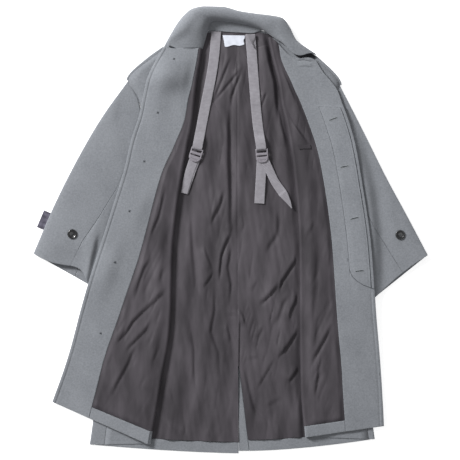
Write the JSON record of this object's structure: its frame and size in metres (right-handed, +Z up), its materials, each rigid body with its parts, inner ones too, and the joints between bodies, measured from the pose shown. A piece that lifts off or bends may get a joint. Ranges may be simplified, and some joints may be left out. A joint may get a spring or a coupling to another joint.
{
  "type": "coat",
  "caption": "Long oversized wool coat, laid on its back with both fronts folded open over a dark satin lining with two carrying straps.",
  "frame": {"origin": "middle of the bounding box in X and Y, on the flat underside at Z = 0", "axes": "+Y from the hem towards the collar, +Z up from the surface it lies on, +X to the right of a person who looks down at it"},
  "size_m": [0.986, 1.1181, 0.0411],
  "materials": {
    "melton_wool": "felted, matt",
    "satin_lining": "soft satin",
    "strap_webbing": "woven, matt",
    "blank_label": "woven, plain",
    "horn_button": "semi-gloss",
    "buckle_acetal": "satin",
    "tab_satin": "woven, matt"
  },
  "bodies": {
    "root": {"back_left": "melton_wool", "back_right": "melton_wool", "back_hem_left": "melton_wool", "back_hem_right": "melton_wool", "vent_facing": "melton_wool", "front_left": "melton_wool", "front_right": "melton_wool", "facing_left": "melton_wool", "facing_right": "melton_wool", "front_hem_left": "melton_wool", "front_hem_right": "melton_wool", "fly_strip_right": "melton_wool", "sleeve_top_left": "melton_wool", "sleeve_under_left": "melton_wool", "sleeve_top_right": "melton_wool", "sleeve_under_right": "melton_wool", "collar_upper": "melton_wool", "collar_under": "melton_wool", "collar_stand": "melton_wool", "back_lining_left": "satin_lining", "back_lining_right": "satin_lining", "front_lining_left": "satin_lining", "front_lining_right": "satin_lining", "pocket_welt_right": "satin_lining", "strap_left": "strap_webbing", "strap_right": "strap_webbing", "strap_fold_right": "strap_webbing", "anchor_tail_left": "strap_webbing", "anchor_tail_right": "strap_webbing", "free_tail_left": "strap_webbing", "free_tail_right": "strap_webbing", "neck_label": "blank_label", "cuff_button_left": "horn_button", "cuff_button_right": "horn_button", "front_button_1": "horn_button", "front_button_2": "horn_button", "front_button_3": "horn_button", "front_button_4": "horn_button", "front_button_5": "horn_button", "front_button_6": "horn_button", "strap_buckle_left": "buckle_acetal", "strap_buckle_right": "buckle_acetal", "sleeve_tab_left": "tab_satin"}
  },
  "joints": []
}
